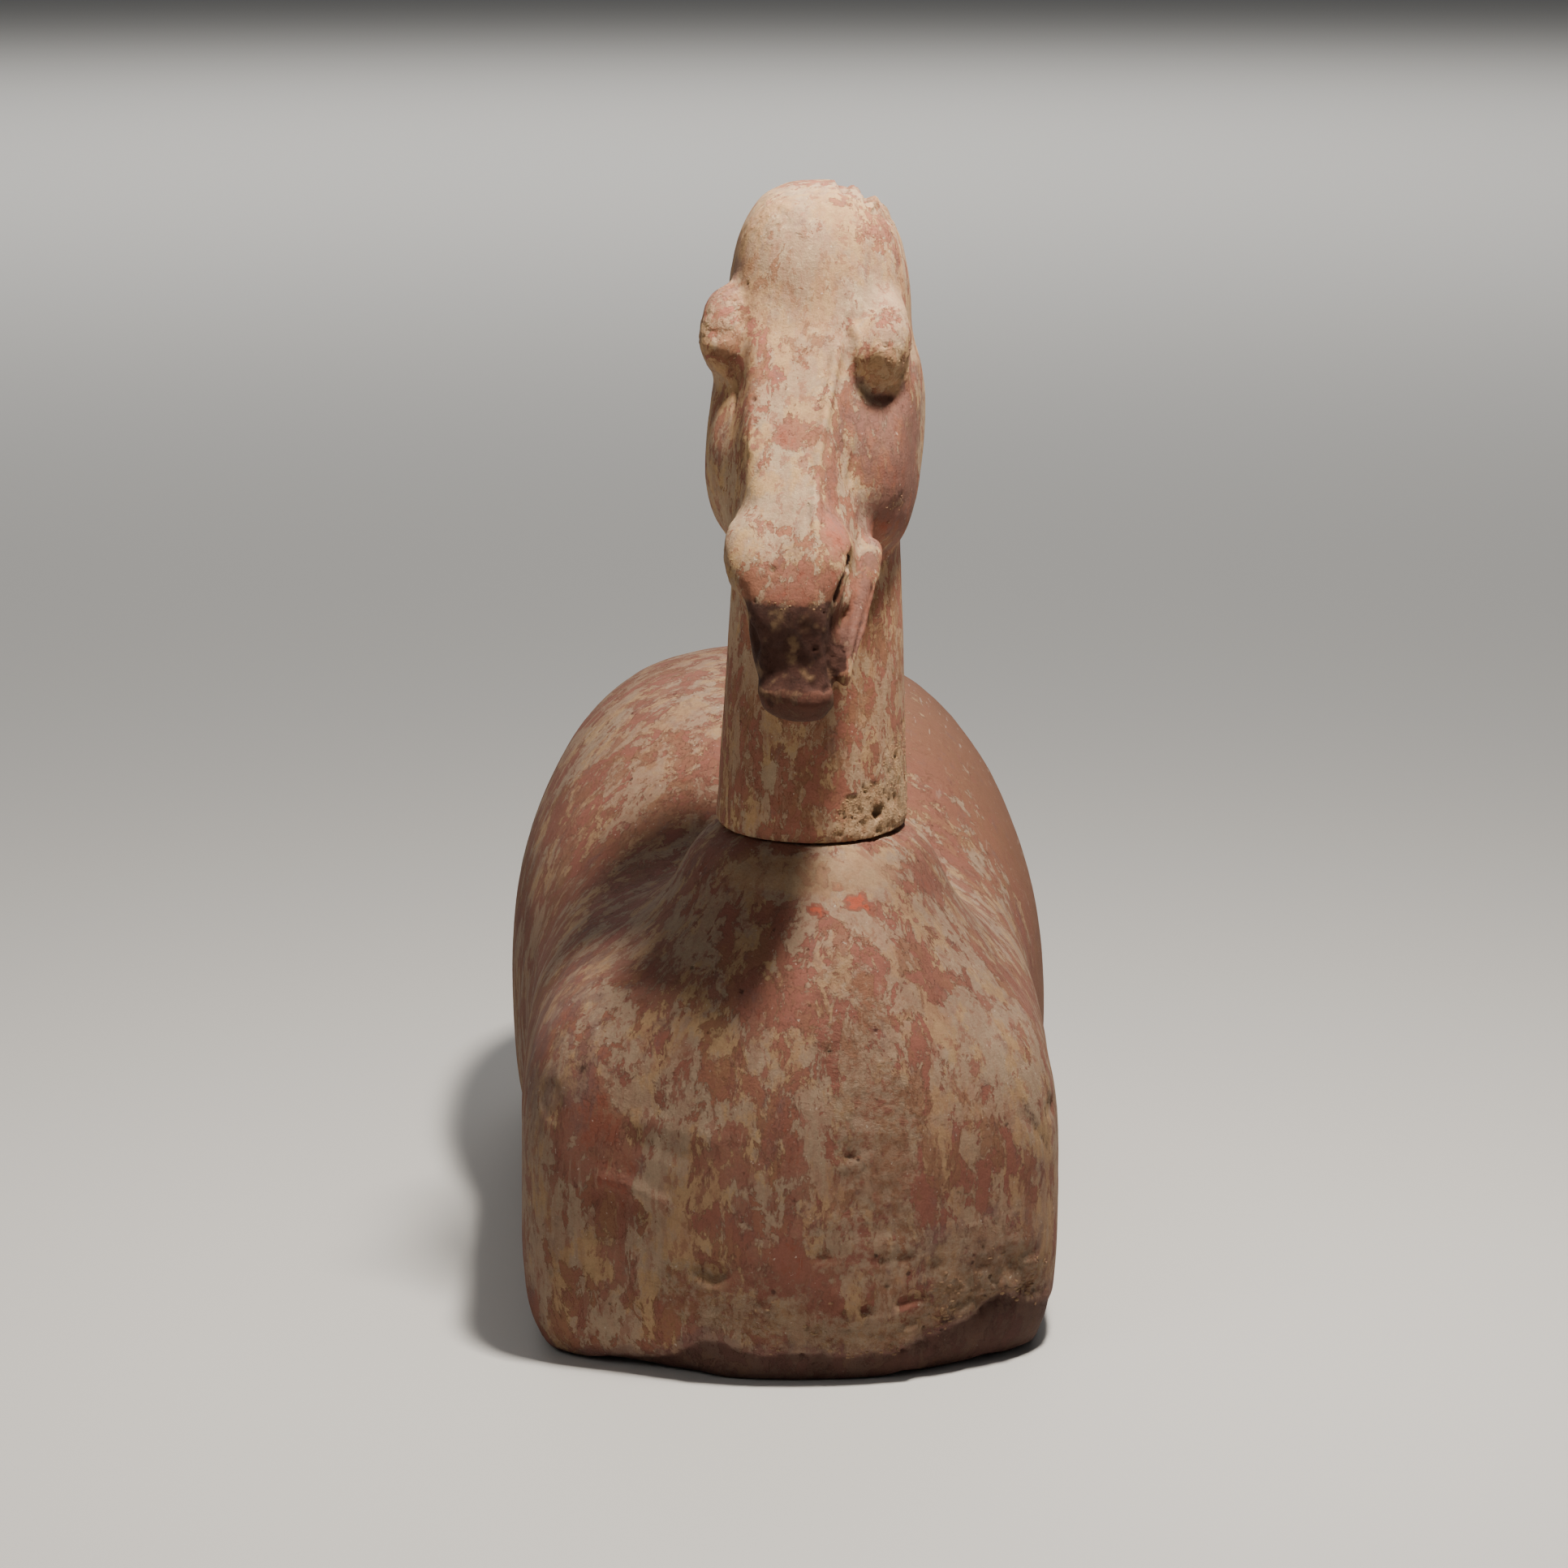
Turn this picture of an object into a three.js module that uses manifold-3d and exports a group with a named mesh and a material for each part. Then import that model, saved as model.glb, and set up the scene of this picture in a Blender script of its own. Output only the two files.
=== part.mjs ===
// A painted earthenware horse of the kind made for ancient tombs. The torso has no legs and stands
// on the flat undersides of its shoulders and haunches. The head and neck are one piece, which
// rests on the seat of a neck stump and can be lifted away.
//
// Millimetres, +Z up. The horse faces -Y, with its left side towards +X. The origin is on the
// ground, under the middle of the whole figure's box.
import * as THREE from "three";
import { mergeVertices } from "three/addons/utils/BufferGeometryUtils.js";
import Module from "manifold-3d";

const wasm = await Module();
wasm.setup();

// Torso. Its middle is at X 0, Y 0 while it is modelled.
const TORSO_LENGTH = 626;
const CHEST_WIDTH = 268;
const HAUNCH_WIDTH = 290;
const SHOULDER_HEIGHT = 202;
const BACK_HEIGHT = 198;
const BACK_WIDTH = 236;
const RUMP_HEIGHT = 279;
const BELLY_CLEARANCE = 26; // the belly's height above the ground
const FOOT_CUT = 60; // the limbs would go on this far below the ground, where they are cut
const FOOT_ROUND = 8;
const UNDERCUT = 30; // how far the shoulders' lower edge stands back from the brisket

// Neck stump, with the flat seat on top of it
const SEAT_HEIGHT = 252;
const SEAT_FORWARD = 189; // from the torso's middle to the seat's middle
const SEAT_ASIDE = 12; // the stump stands a little to the horse's left
const SEAT_LEDGE = 9; // how far the seat reaches past the neck
const JOINT_GAP = 0.3;

// Neck
const NECK_WIDTH = 96;
const NECK_DEPTH = 126;
const NECK_RISE = 190; // from the seat to the middle of the cheeks
const NECK_TAPER = 0.8; // the width under the cheeks as a share of the width at the seat

// Head
const HEAD_LENGTH = 260;
const CHEEK_WIDTH = 100;
const CROWN_RISE = 316; // from the seat to the top of the head
const FACE_TILT = THREE.MathUtils.degToRad(30); // the face's slope from upright
const HEAD_TURN = THREE.MathUtils.degToRad(-11); // the head looks a little to the horse's right
const HEAD_ROLL = THREE.MathUtils.degToRad(2); // and leans a little to its left

// Fineness of the solids: the size of a facet
const TORSO_FACET = 21;
const NECK_FACET = 15;
const HEAD_FACET = 7.5;
const SHAVE = 0.2; // the clay that is cut away to make the seat and the soles flat

// Forms. Each is a function of a point. It is negative inside the clay, positive outside it, and
// about the distance to the surface in millimetres.

// A rounded mass with a reach of its own each way from its middle. Its outline from above has the
// power plan, and its upright outlines the power square: 2 is an ellipse, and more is boxier.
const mass = ({ at, wide, front, back, up, down, square = 2, plan = square }) => (x, y, z) => {
  const reach = [wide, y < at[1] ? front : back, z > at[2] ? up : down];
  const [a, b, c] = [x - at[0], y - at[1], z - at[2]].map((offset, i) => Math.abs(offset) / reach[i]);
  const flat = (a ** plan + b ** plan) ** (1 / plan);
  const level = (flat ** square + c ** square) ** (1 / square);
  if (level < 1e-6) return -Math.min(...reach);
  const flatSlope = flat > 0 ? (flat / level) ** (square - 1) : 0;
  const slope = Math.hypot(
    (flatSlope * (a / flat || 0) ** (plan - 1)) / reach[0],
    (flatSlope * (b / flat || 0) ** (plan - 1)) / reach[1],
    (c / level) ** (square - 1) / reach[2],
  );
  return (level - 1) / slope;
};

// A column of elliptical section, whose middle and half sizes change with the height
const column = ({ middleX, middleY, halfWidth, halfDepth }) => (x, y, z) => {
  const [a, b] = [halfWidth(z), halfDepth(z)];
  const [u, v] = [(x - middleX(z)) / a, (y - middleY(z)) / b];
  const level = Math.hypot(u, v);
  return level > 1e-6 ? (level * (level - 1)) / Math.hypot(u / a, v / b) : -Math.min(a, b);
};

// A bar with round ends, from one point and radius to another
const bar = (start, startRadius, end, endRadius) => {
  const from = new THREE.Vector3(...start);
  const along = new THREE.Vector3(...end).sub(from);
  return (x, y, z) => {
    const point = new THREE.Vector3(x, y, z).sub(from);
    const t = THREE.MathUtils.clamp(point.dot(along) / along.lengthSq(), 0, 1);
    return point.addScaledVector(along, -t).length() - THREE.MathUtils.lerp(startRadius, endRadius, t);
  };
};

// The space on the inner side of a plane through a point
const side = (point, normal) => {
  const out = new THREE.Vector3(...normal).normalize();
  const level = out.dot(new THREE.Vector3(...point));
  return (x, y, z) => out.x * x + out.y * y + out.z * z - level;
};

const blendMin = (a, b, blend) => {
  const share = Math.max(blend - Math.abs(a - b), 0) / blend;
  return Math.min(a, b) - (share * share * blend) / 4;
};
const joined = (base, form, blend) => (x, y, z) => blendMin(base(x, y, z), form(x, y, z), blend);
const within = (base, form, blend) => (x, y, z) => -blendMin(-base(x, y, z), -form(x, y, z), blend);
const carved = (base, form, blend) => (x, y, z) => -blendMin(-base(x, y, z), form(x, y, z), blend);
const bothSides = (form) => (x, y, z) => form(Math.abs(x), y, z);

// A smooth curve through pairs of a place and a value, level beyond its ends
const curve = (pairs) => (at) => {
  const next = pairs.findIndex(([place]) => at < place);
  if (next === 0) return pairs[0][1];
  if (next < 0) return pairs[pairs.length - 1][1];
  const [[start, before], [end, after]] = [pairs[next - 1], pairs[next]];
  return THREE.MathUtils.lerp(before, after, THREE.MathUtils.smoothstep(at, start, end));
};

// A straight-sided change between two places
const ramp = (start, before, end, after) => (at) =>
  before + (after - before) * THREE.MathUtils.clamp((at - start) / (end - start), 0, 1);

// Skin: a closed mesh of a form's surface

// Grid lines from one place to another, with the spacing that holds at each place
const gridLines = (from, to, spacing) => {
  const lines = [from];
  while (lines.at(-1) < to) lines.push(lines.at(-1) + spacing(lines.at(-1)));
  return lines;
};

const slopeOf = (form, { x, y, z }) => {
  const step = 0.05;
  return new THREE.Vector3(
    form(x + step, y, z) - form(x - step, y, z),
    form(x, y + step, z) - form(x, y - step, z),
    form(x, y, z + step) - form(x, y, z - step),
  ).divideScalar(2 * step);
};

// A grid cell's corners are numbered so that bit 1 is a step in X, bit 2 in Y and bit 4 in Z.
const STEPS = [1, 2, 4];
const CORNERS = [...Array(2 ** STEPS.length).keys()];
const EDGES = CORNERS.flatMap((corner) => (
  STEPS.filter((bit) => !(corner & bit)).map((bit) => [corner, corner | bit])
));
const EVERY_EDGE = EDGES.map((edge, n) => n);
const FACES = STEPS.flatMap((bit) => (
  [0, bit].map((level) => CORNERS.filter((corner) => (corner & bit) === level))
));
const cornerOf = ([i, j, k], n) => [i + (n & 1), j + ((n >> 1) & 1), k + (n >> 2)];
const edgeName = (corner, axis) => corner * STEPS.length + axis;
const EDGE_NAMES = EDGES.map(([low, high]) => edgeName(low, STEPS.indexOf(high ^ low)));
const NAMES_PER_CELL = CORNERS.length * STEPS.length;

// The sheets of surface that pass through a cell: each is the list of its crossed edges. On a face
// that is crossed four times, the sign at its middle says which crossings belong together.
const sheetsOf = (values) => {
  const inside = values.map((value) => value < 0);
  const crossed = EDGES.map(([low, high]) => inside[low] !== inside[high]);
  const group = [...EVERY_EDGE];
  const join = (a, b) => {
    const [kept, gone] = [group[a], group[b]];
    group.forEach((name, n) => {
      if (name === gone) group[n] = kept;
    });
  };
  for (const face of FACES) {
    const ring = EVERY_EDGE.filter((n) => crossed[n] && EDGES[n].every((corner) => face.includes(corner)));
    if (ring.length === 2) join(ring[0], ring[1]);
    if (ring.length < 4) continue;
    const middleInside = face.reduce((sum, corner) => sum + values[corner], 0) < 0;
    for (const corner of face.filter((n) => inside[n] !== middleInside)) {
      const [a, b] = ring.filter((n) => EDGES[n].includes(corner));
      join(a, b);
    }
  }
  const names = new Set(group.filter((name, n) => crossed[n]));
  return [...names].map((name) => EVERY_EDGE.filter((n) => crossed[n] && group[n] === name));
};

const eachPlace = (from, to, visit) => {
  for (let k = from; k < to[2]; k++) {
    for (let j = from; j < to[1]; j++) {
      for (let i = from; i < to[0]; i++) visit([i, j, k]);
    }
  }
};

// Each sheet of surface in a grid cell gets one vertex, which is moved along the form's slope until
// it lies on the surface. Each grid edge that the surface crosses gets two triangles.
const skin = (form, xs, ys, zs) => {
  const counts = [xs.length, ys.length, zs.length];
  const cells = counts.map((count) => count - 1);
  const at = ([i, j, k]) => (k * ys.length + j) * xs.length + i;
  const pointAt = ([i, j, k]) => new THREE.Vector3(xs[i], ys[j], zs[k]);
  const level = new Float64Array(xs.length * ys.length * zs.length);
  eachPlace(0, counts, (cell) => {
    level[at(cell)] = form(...pointAt(cell)) || Number.EPSILON; // never 0, which has no side
  });

  const vertexOf = new Map();
  const points = [];
  const addSheet = (cell, sheet, values) => {
    const place = (n) => pointAt(cornerOf(cell, n));
    const middle = new THREE.Vector3();
    for (const n of sheet) {
      const [low, high] = EDGES[n];
      middle.add(place(low).lerp(place(high), values[low] / (values[low] - values[high])));
    }
    middle.divideScalar(sheet.length);
    const rim = place(CORNERS.at(-1)).sub(place(0)).multiplyScalar(0.05); // keeps vertices of two cells apart
    const bounds = new THREE.Box3(place(0).add(rim), place(CORNERS.at(-1)).sub(rim));
    const moves = 4;
    const leastSlope = 0.1; // keeps a move short where the form is almost level
    for (let move = 0; move < moves; move++) {
      const slope = slopeOf(form, middle);
      middle.addScaledVector(slope, -form(...middle) / Math.max(slope.lengthSq(), leastSlope));
      bounds.clampPoint(middle, middle);
    }
    for (const n of sheet) vertexOf.set(at(cell) * NAMES_PER_CELL + EDGE_NAMES[n], points.length);
    points.push(middle);
  };
  eachPlace(0, cells, (cell) => {
    const values = CORNERS.map((n) => level[at(cornerOf(cell, n))]);
    const whole = values.every((value) => value < 0) || values.every((value) => value > 0);
    if (whole) return;
    for (const sheet of sheetsOf(values)) addSheet(cell, sheet, values);
  });

  const triangles = [];
  const addQuad = (quad, outwards) => {
    const [a, b, c, d] = outwards ? quad : [...quad].reverse();
    const shortAcross = points[a].distanceToSquared(points[c]) < points[b].distanceToSquared(points[d]);
    triangles.push(...(shortAcross ? [a, b, c, a, c, d] : [a, b, d, b, c, d]));
  };
  const around = [[1, 1], [0, 1], [0, 0], [1, 0]]; // the four cells that share a grid edge
  eachPlace(1, cells, (place) => {
    const here = level[at(place)] < 0;
    STEPS.forEach((bit, axis) => {
      const next = level[at(cornerOf(place, bit))] < 0;
      if (here === next) return;
      const quad = around.map(([u, v]) => {
        const back = [0, 0, 0];
        back[(axis + 1) % 3] = u;
        back[(axis + 2) % 3] = v;
        const cell = place.map((index, n) => index - back[n]);
        const corner = back.reduce((sum, step, n) => sum + step * STEPS[n], 0);
        return vertexOf.get(at(cell) * NAMES_PER_CELL + edgeName(corner, axis));
      });
      addQuad(quad, here);
    });
  });
  return new wasm.Manifold(new wasm.Mesh({
    numProp: 3,
    vertProperties: new Float32Array(points.flatMap((point) => [...point])),
    triVerts: new Uint32Array(triangles),
  }));
};

// A block between two corners, to cut clay off flat
const block = (low, high) => {
  const box = new THREE.BoxGeometry(...high.map((value, i) => value - low[i]));
  box.translate(...high.map((value, i) => (value + low[i]) / 2));
  box.deleteAttribute("normal");
  box.deleteAttribute("uv");
  const { attributes, index } = mergeVertices(box);
  return new wasm.Manifold(new wasm.Mesh({
    numProp: 3,
    vertProperties: new Float32Array(attributes.position.array),
    triVerts: new Uint32Array(index.array),
  }));
};

const clayMesh = (name, solid, colour, roughness) => {
  const { vertProperties, triVerts } = solid.getMesh();
  const geometry = new THREE.BufferGeometry();
  geometry.setAttribute("position", new THREE.BufferAttribute(vertProperties, 3));
  geometry.setIndex(new THREE.BufferAttribute(triVerts, 1));
  geometry.computeVertexNormals();
  const material = new THREE.MeshStandardMaterial({ color: colour, roughness, flatShading: true });
  const mesh = new THREE.Mesh(geometry, material);
  mesh.name = name;
  return mesh;
};

// Torso

const torsoForm = () => {
  const shoulderMiddle = 0.36 * SHOULDER_HEIGHT;
  const shoulders = mass({
    at: [0, -0.3 * TORSO_LENGTH, shoulderMiddle],
    wide: CHEST_WIDTH / 2,
    front: 0.175 * TORSO_LENGTH,
    back: 0.23 * TORSO_LENGTH,
    up: SHOULDER_HEIGHT - shoulderMiddle,
    down: shoulderMiddle + FOOT_CUT,
    square: 3.2,
    plan: 4.6,
  });
  // The lower front edge slopes back under the shoulders, on both sides of the brisket.
  const edgeSlope = side([0, -0.5 * TORSO_LENGTH + UNDERCUT, 0], [0, -0.75, -0.66]);
  const cutShoulders = within(shoulders, edgeSlope, 14);
  const brisket = mass({
    at: [0.03 * CHEST_WIDTH, -0.4 * TORSO_LENGTH, 0.34 * SHOULDER_HEIGHT],
    wide: 0.29 * CHEST_WIDTH,
    front: 0.112 * TORSO_LENGTH,
    back: 0.1 * TORSO_LENGTH,
    up: 0.75 * SHOULDER_HEIGHT,
    down: 0.34 * SHOULDER_HEIGHT + FOOT_CUT,
    square: 2.4,
  });
  const haunchMiddle = 0.26 * RUMP_HEIGHT;
  const croupBehind = 0.17 * TORSO_LENGTH; // from the torso's middle to the highest point
  const rumpLean = 0.02; // the croup's top leans to the horse's right
  const upright = mass({
    at: [0, croupBehind, haunchMiddle],
    wide: HAUNCH_WIDTH / 2,
    front: 0.33 * TORSO_LENGTH,
    back: TORSO_LENGTH / 2 - croupBehind,
    up: RUMP_HEIGHT - haunchMiddle,
    down: haunchMiddle + FOOT_CUT,
    square: 2.6,
  });
  const haunches = (x, y, z) => upright(x + rumpLean * Math.max(z - haunchMiddle, 0), y, z);
  const barrelMiddle = (BACK_HEIGHT + BELLY_CLEARANCE) / 2;
  const barrel = mass({
    at: [0, 0, barrelMiddle],
    wide: BACK_WIDTH / 2,
    front: 0.4 * TORSO_LENGTH,
    back: 0.4 * TORSO_LENGTH,
    up: BACK_HEIGHT - barrelMiddle,
    down: barrelMiddle - BELLY_CLEARANCE,
    square: 2.8,
  });
  const flare = 0.22; // how fast the neck's root widens downwards
  const rootDepth = (z) => flare * Math.max(SEAT_HEIGHT - z, 0);
  const root = column({
    middleX: () => SEAT_ASIDE,
    middleY: () => -SEAT_FORWARD,
    halfWidth: (z) => NECK_WIDTH / 2 + SEAT_LEDGE + rootDepth(z),
    halfDepth: (z) => NECK_DEPTH / 2 + SEAT_LEDGE + rootDepth(z),
  });
  const stump = within(root, side([0, 0, SEAT_HEIGHT + SHAVE], [0, 0, 1]), 2 * SEAT_LEDGE);
  const shortStump = within(stump, side([0, 0, 0.6 * SHOULDER_HEIGHT], [0, 0, -1]), 30);
  const trunk = joined(joined(cutShoulders, barrel, 40), haunches, 60);
  const bellyArch = mass({
    at: [0, -0.03 * TORSO_LENGTH, -BELLY_CLEARANCE],
    wide: 2 * (CHEST_WIDTH + HAUNCH_WIDTH),
    front: 0.17 * TORSO_LENGTH,
    back: 0.17 * TORSO_LENGTH,
    up: 2 * BELLY_CLEARANCE,
    down: FOOT_CUT,
  });
  const upper = joined(joined(trunk, brisket, 40), shortStump, 40);
  return within(carved(upper, bellyArch, 24), side([0, 0, -SHAVE], [0, 0, -1]), FOOT_ROUND);
};

const buildTorso = () => {
  const form = torsoForm();
  const margin = 2.5 * TORSO_FACET;
  const seatFront = SEAT_FORWARD + NECK_DEPTH / 2 + SEAT_LEDGE;
  const width = Math.max(CHEST_WIDTH, HAUNCH_WIDTH, BACK_WIDTH) / 2 + margin;
  const top = Math.max(SEAT_HEIGHT, RUMP_HEIGHT, SHOULDER_HEIGHT, BACK_HEIGHT) + margin;
  const length = Math.max(TORSO_LENGTH / 2, seatFront) + margin;
  const even = () => TORSO_FACET;
  const finer = (z) => {
    const nearSeat = Math.abs(z - SEAT_HEIGHT + SEAT_LEDGE) < 2 * SEAT_LEDGE;
    const nearGround = z < FOOT_ROUND;
    return nearSeat || nearGround ? TORSO_FACET / 3 : TORSO_FACET;
  };
  const clay = skin(
    form,
    gridLines(-width, width, even),
    gridLines(-length, length, even),
    gridLines(-TORSO_FACET, top, finer),
  );
  const ground = block([-2 * width, -2 * length, -2 * margin], [2 * width, 2 * length, 0]);
  const overSeat = block(
    [SEAT_ASIDE - NECK_WIDTH, -SEAT_FORWARD - NECK_DEPTH, SEAT_HEIGHT],
    [SEAT_ASIDE + NECK_WIDTH, -SEAT_FORWARD + NECK_DEPTH, SEAT_HEIGHT + margin],
  );
  return clay.subtract(ground).subtract(overSeat);
};

// Head and neck. The head is modelled upright in a frame of its own, with its face at Y 0 and the
// top of its face at Z 0, and is then tilted, turned and set on the neck.

const headForm = () => {
  const part = HEAD_LENGTH / 100; // the carving is in hundredths of the head's length
  const p = (...shares) => shares.map((share) => share * part);
  const cheek = CHEEK_WIDTH / 2;

  // The long face is a block with a flat bridge, sloping sides and a steep nose.
  const bridge = curve([[-92, 2], [-79, 7.1], [-58, 6.1], [-38, 7.6], [-16, 10]].map(([z, w]) => p(z, w)));
  const spread = 0.5;
  const flank = (x, y, z) => (Math.abs(x) - bridge(z) - spread * Math.max(y, -part)) / Math.hypot(1, spread);
  const halfWidth = curve([[-92, 6.6], [-79, 8.2], [-66, 11.5], [-50, 15.4]].map(([z, w]) => p(z, w)));
  const cuts = [
    [(x, y, z) => Math.abs(x) - halfWidth(z), 4],
    [side(p(0, 0, -79), [0, -0.83, -0.555]), 2],
    [side(p(0, 9, -92), [0, 0.3, -1]), 3],
    [side(p(0, 19, -91), [0, 0.86, -0.51]), 6],
    [side(p(0, 32, 0), [0, 1, 0]), 10],
    [side(p(0, 0, 0), [0, 0, 1]), 12],
  ];
  let face = within(side([0, 0, 0], [0, -1, 0]), flank, 2.5 * part);
  for (const [cut, round] of cuts) face = within(face, cut, round * part);

  const cheekDisc = mass({
    at: p(-35.5, 25, 1.2),
    wide: 21.5 * part,
    front: 17 * part,
    back: 19 * part,
    up: cheek,
    down: cheek,
    square: 4.5,
    plan: 2.3,
  });
  const cheeks = (x, y, z) => cheekDisc(z, y, x);
  const eyes = bothSides(mass({
    at: p(14.6, 6.5, -23.4),
    wide: 4.8 * part,
    front: 6 * part,
    back: 7 * part,
    up: 8.4 * part,
    down: 8.6 * part,
    square: 2.3,
  }));
  const nostrils = bothSides(mass({
    at: p(7.4, 5.4, -67.5),
    wide: 4.8 * part,
    front: 5.2 * part,
    back: 8 * part,
    up: 7 * part,
    down: 9 * part,
    square: 2.3,
  }));
  const lowerLip = mass({
    at: p(0.6, 10.5, -92),
    wide: 7.2 * part,
    front: 4.4 * part,
    back: 9 * part,
    up: 3.4 * part,
    down: 3.9 * part,
    square: 2.5,
  });
  const aside = (form, shift) => (x, y, z) => form(x - shift, y, z);
  const lipRims = bothSides(bar(p(11.6, 16.5, -61), 2.5 * part, p(6.6, 11.5, -88), 1.9 * part));
  const mouth = bothSides(bar(p(11.2, 8, -68), 1.8 * part, p(7.6, 7, -84), 2.1 * part));

  let form = joined(face, cheeks, 4 * part);
  form = joined(form, eyes, 2 * part);
  form = joined(form, nostrils, 3 * part);
  form = joined(form, lowerLip, 1.2 * part);
  form = joined(form, aside(lipRims, 2.6 * part), 1.5 * part); // the left rim stands further out
  form = carved(form, aside(mouth, 0.8 * part), 1.2 * part);

  // Below the cheeks the muzzle swings back towards the horse's left.
  const swing = ramp(-92 * part, 5.2 * part, -48 * part, 0);
  return (x, y, z) => form(x - swing(z), y, z);
};

const CROWN_TOP = SEAT_HEIGHT + CROWN_RISE;
const CHEEK_HEIGHT = SEAT_HEIGHT + NECK_RISE;
const HEAD_MIDDLE = SEAT_ASIDE + 3; // the neck leans a little to the horse's left as it rises
const FACE_FORWARD = SEAT_FORWARD + 26; // from the torso's middle to the top of the face

const headToFigure = new THREE.Matrix4()
  .makeRotationFromEuler(new THREE.Euler(-FACE_TILT, HEAD_ROLL, HEAD_TURN, "ZYX"))
  .setPosition(SEAT_ASIDE, -FACE_FORWARD, CROWN_TOP - 0.035 * HEAD_LENGTH);

const headAndNeckForm = () => {
  const figureToHead = headToFigure.clone().invert();
  const headLocal = headForm();
  const head = (x, y, z) => {
    const point = new THREE.Vector3(x, y, z).applyMatrix4(figureToHead);
    return headLocal(point.x, point.y, point.z);
  };
  const crown = mass({
    at: [HEAD_MIDDLE, -SEAT_FORWARD - 6, CROWN_TOP - 0.24 * HEAD_LENGTH],
    wide: 0.41 * CHEEK_WIDTH,
    front: 0.17 * HEAD_LENGTH,
    back: 0.18 * HEAD_LENGTH,
    up: 0.24 * HEAD_LENGTH,
    down: 0.4 * HEAD_LENGTH,
    square: 2.9,
  });
  const rise = (low, high) => ramp(SEAT_HEIGHT, low, CHEEK_HEIGHT, high);
  const neck = within(column({
    middleX: rise(SEAT_ASIDE, HEAD_MIDDLE),
    middleY: rise(-SEAT_FORWARD, -SEAT_FORWARD + 4),
    halfWidth: rise(NECK_WIDTH / 2, (NECK_TAPER * NECK_WIDTH) / 2),
    halfDepth: rise(NECK_DEPTH / 2, (0.85 * NECK_DEPTH) / 2),
  }), side([0, 0, CROWN_TOP - 0.1 * HEAD_LENGTH], [0, 0, 1]), 50);
  return joined(joined(neck, crown, 20), head, 6);
};

const buildHeadAndNeck = () => {
  const form = headAndNeckForm();
  const margin = 3 * HEAD_FACET;
  const halfWidth = CHEEK_WIDTH / 2 + 2 * margin;
  const jawHeight = CROWN_TOP - HEAD_LENGTH;
  const front = -FACE_FORWARD - 0.7 * HEAD_LENGTH;
  const back = -SEAT_FORWARD + NECK_DEPTH / 2 + margin;
  const coarserBehind = (y) => (y > -SEAT_FORWARD ? 1.6 : 1) * HEAD_FACET;
  const coarserBelow = (z) => (z < jawHeight ? NECK_FACET : HEAD_FACET);
  const widths = gridLines(HEAD_MIDDLE - halfWidth, HEAD_MIDDLE + halfWidth, () => HEAD_FACET);
  const lengths = gridLines(front, back, coarserBehind);
  const heights = gridLines(SEAT_HEIGHT - 3 * NECK_FACET, CROWN_TOP + margin, coarserBelow);
  const closed = within(form, side([0, 0, SEAT_HEIGHT - NECK_FACET], [0, 0, -1]), 1);
  const seat = block(
    [SEAT_ASIDE - NECK_WIDTH, -SEAT_FORWARD - NECK_DEPTH, SEAT_HEIGHT - 3 * NECK_FACET],
    [SEAT_ASIDE + NECK_WIDTH, -SEAT_FORWARD + NECK_DEPTH, SEAT_HEIGHT + JOINT_GAP],
  );
  return skin(closed, widths, lengths, heights).subtract(seat);
};

const torso = clayMesh("torso", buildTorso(), 0xb48a6c, 0.9);
const headAndNeck = clayMesh("head_and_neck", buildHeadAndNeck(), 0xc2a184, 0.9);

const horse = new THREE.Group();
horse.add(torso, headAndNeck);

const box = new THREE.Box3().setFromObject(horse);
const middle = box.getCenter(new THREE.Vector3());
for (const piece of horse.children) piece.geometry.translate(-middle.x, -middle.y, -box.min.z);

export default horse;
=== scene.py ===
import math

import bmesh
import bpy
import numpy as np
from mathutils import Matrix, Vector
from mathutils.kdtree import KDTree


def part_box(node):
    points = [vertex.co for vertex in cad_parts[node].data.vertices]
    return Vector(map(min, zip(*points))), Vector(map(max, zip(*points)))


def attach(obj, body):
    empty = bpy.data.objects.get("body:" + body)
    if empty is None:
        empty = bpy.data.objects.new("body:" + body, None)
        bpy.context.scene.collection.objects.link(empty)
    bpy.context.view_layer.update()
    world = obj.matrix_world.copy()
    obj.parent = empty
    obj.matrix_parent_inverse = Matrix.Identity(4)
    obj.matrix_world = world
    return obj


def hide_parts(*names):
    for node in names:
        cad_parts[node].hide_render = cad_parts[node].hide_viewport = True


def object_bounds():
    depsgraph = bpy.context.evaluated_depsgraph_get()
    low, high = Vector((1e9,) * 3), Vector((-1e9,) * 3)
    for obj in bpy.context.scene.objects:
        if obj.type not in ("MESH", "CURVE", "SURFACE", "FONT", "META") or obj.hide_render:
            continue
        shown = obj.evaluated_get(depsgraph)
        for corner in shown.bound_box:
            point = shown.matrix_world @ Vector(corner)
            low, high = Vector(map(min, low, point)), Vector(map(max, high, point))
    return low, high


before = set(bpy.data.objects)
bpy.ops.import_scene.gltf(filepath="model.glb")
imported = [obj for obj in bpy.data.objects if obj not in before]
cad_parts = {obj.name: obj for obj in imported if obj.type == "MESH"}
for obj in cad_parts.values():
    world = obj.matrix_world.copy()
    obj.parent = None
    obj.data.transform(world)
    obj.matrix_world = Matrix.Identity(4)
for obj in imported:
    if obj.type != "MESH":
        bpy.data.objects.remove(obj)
cad_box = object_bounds()

# The stage. A large pale matt floor, a small lamp high up on the right with soft ones round it,
# and a camera with a long lens, a little above the horse and almost straight in front of it.

AIM = Vector((-0.0022, -0.206, 0.274))
FAR_FLOOR = Vector((0, 7.5, 0))
FLOOR_REACH = 30
FLOOR_LEVEL = -0.0002  # just under the horse


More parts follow.
